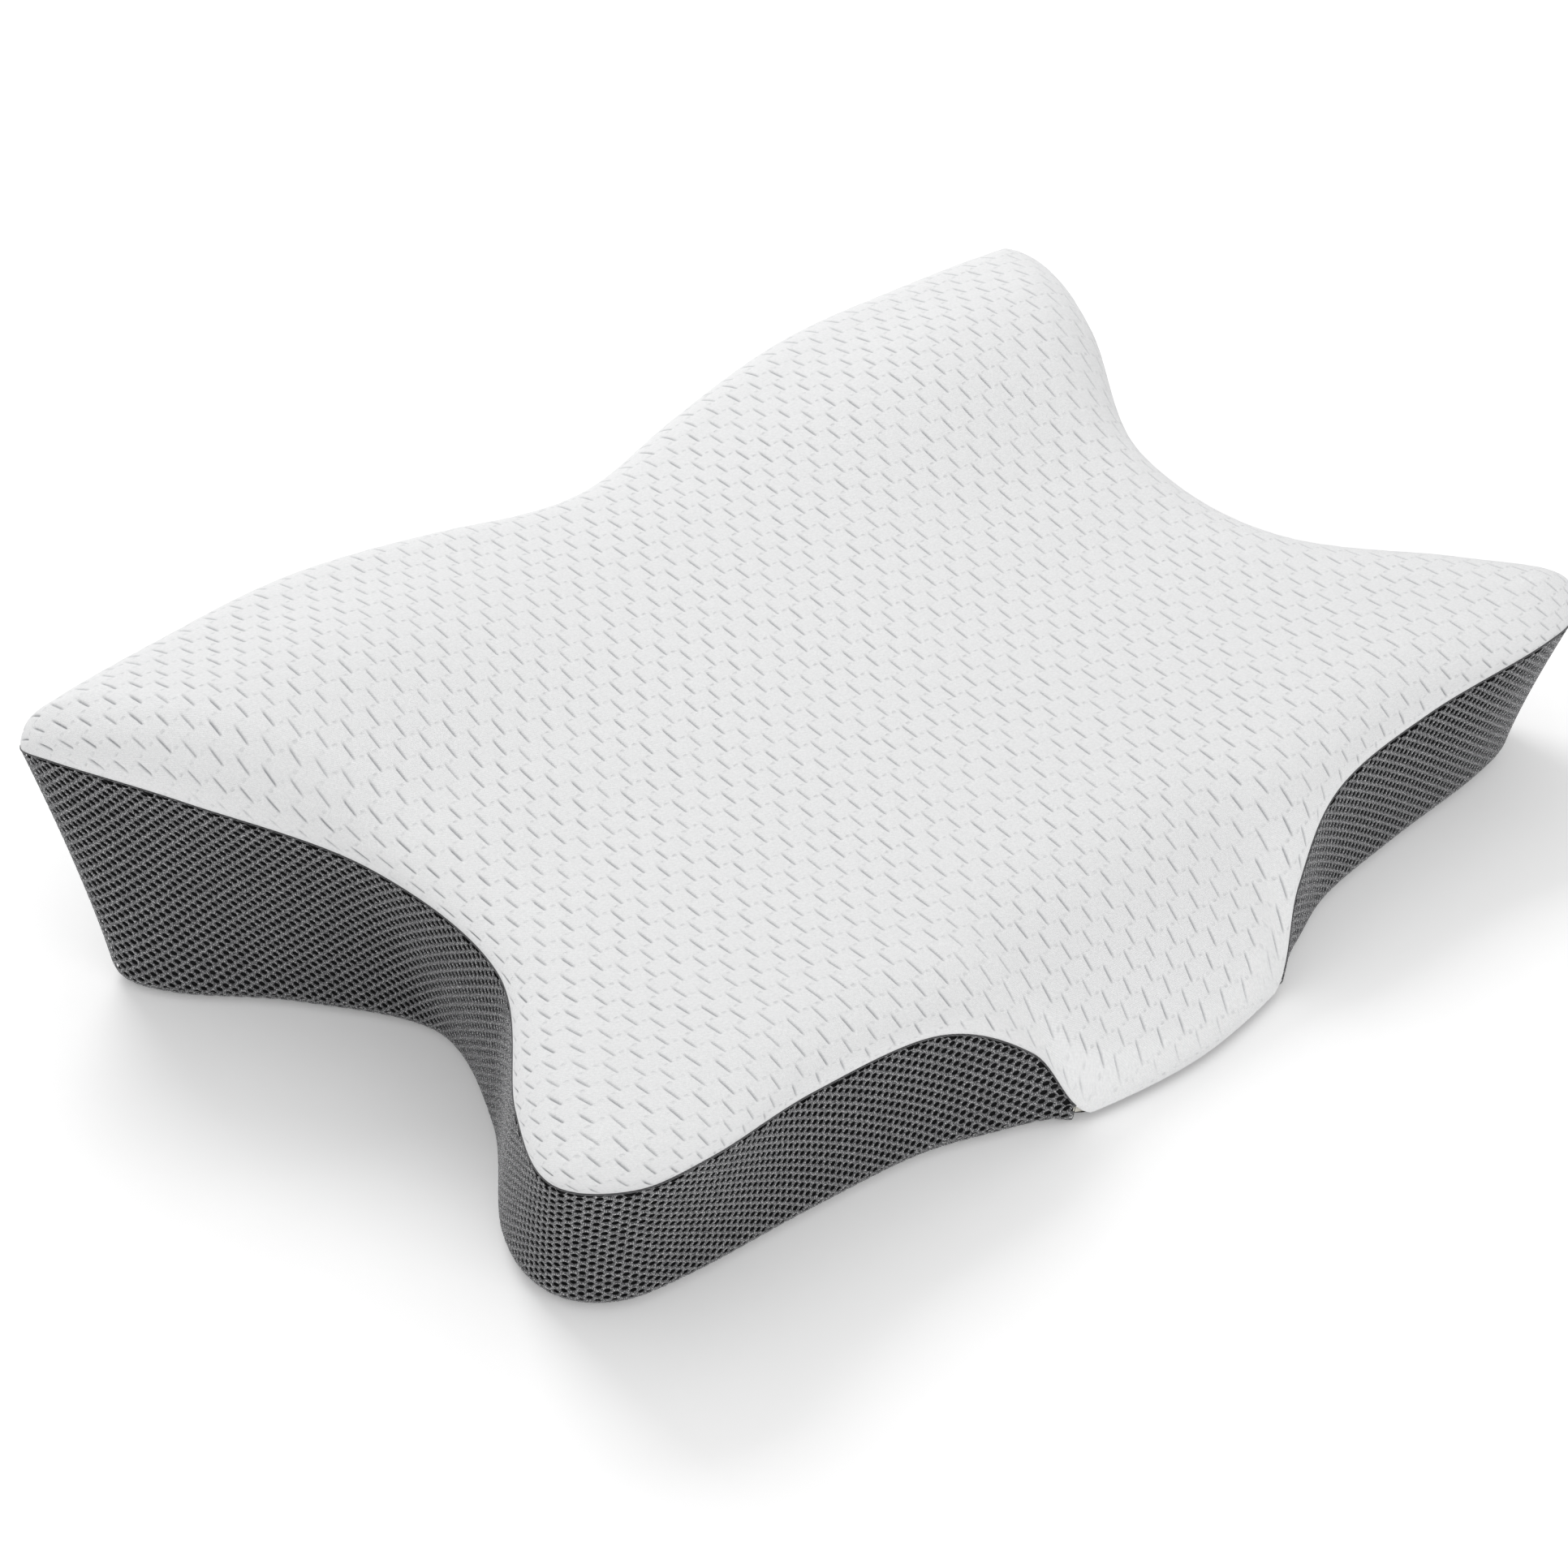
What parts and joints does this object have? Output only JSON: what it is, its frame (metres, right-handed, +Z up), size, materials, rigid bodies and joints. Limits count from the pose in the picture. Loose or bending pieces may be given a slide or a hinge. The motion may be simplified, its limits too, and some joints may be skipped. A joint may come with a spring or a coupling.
{
  "type": "cervical contour pillow",
  "caption": "Butterfly-shaped cervical contour pillow: a moulded foam core in a zipped cover of white quilted knit with dark air-mesh sides and a neck tongue.",
  "frame": {"origin": "centre of the underside, on the surface the pillow lies on", "axes": "+X along the pillow, towards the sleeper's left shoulder when lying on the back with the feet towards -Y; -Y the neck side with the tongue, +Y the head side; +Z up"},
  "size_m": [0.6076, 0.4026, 0.1414],
  "materials": {
    "white_knit": "white jacquard knit, matt",
    "grey_mesh": "dark grey spacer air mesh, matt with small bright yarns",
    "base_fabric": "dark grey knit, matt",
    "memory_foam": "cream open-cell memory foam, matt",
    "grey_thread": "dark sewing thread",
    "zip_nylon": "dark nylon coil",
    "zip_metal": "dark enamelled zinc",
    "label_satin": "plain satin ribbon"
  },
  "bodies": {
    "pillow": {"foam_core": "memory_foam", "cover_top_panel": "white_knit", "cover_bottom_panel": "base_fabric", "cover_mesh_side_left": "grey_mesh", "cover_mesh_side_right": "grey_mesh", "seam_thread_top": "grey_thread", "seam_thread_bottom": "grey_thread", "seam_thread_back": "grey_thread", "zip_tape_upper": "base_fabric", "zip_tape_lower": "base_fabric", "zip_coil_upper": "zip_nylon", "zip_coil_lower": "zip_nylon", "zip_stop_left": "zip_metal", "zip_stop_right": "zip_metal", "care_label": "label_satin"},
    "slider": {"zip_slider": "zip_metal"},
    "pull": {"zip_pull_tab": "zip_metal"}
  },
  "joints": [
    {"name": "zip_slide", "type": "slide", "parent": "pillow", "child": "slider", "axis": [1, 0, 0], "range_m": [0, 0.308]},
    {"name": "pull_swing", "type": "hinge", "parent": "slider", "child": "pull", "pos_m": [-0.154, 0.15665, 0.028], "axis": [1, 0, 0], "range_deg": [0, 165]}
  ]
}
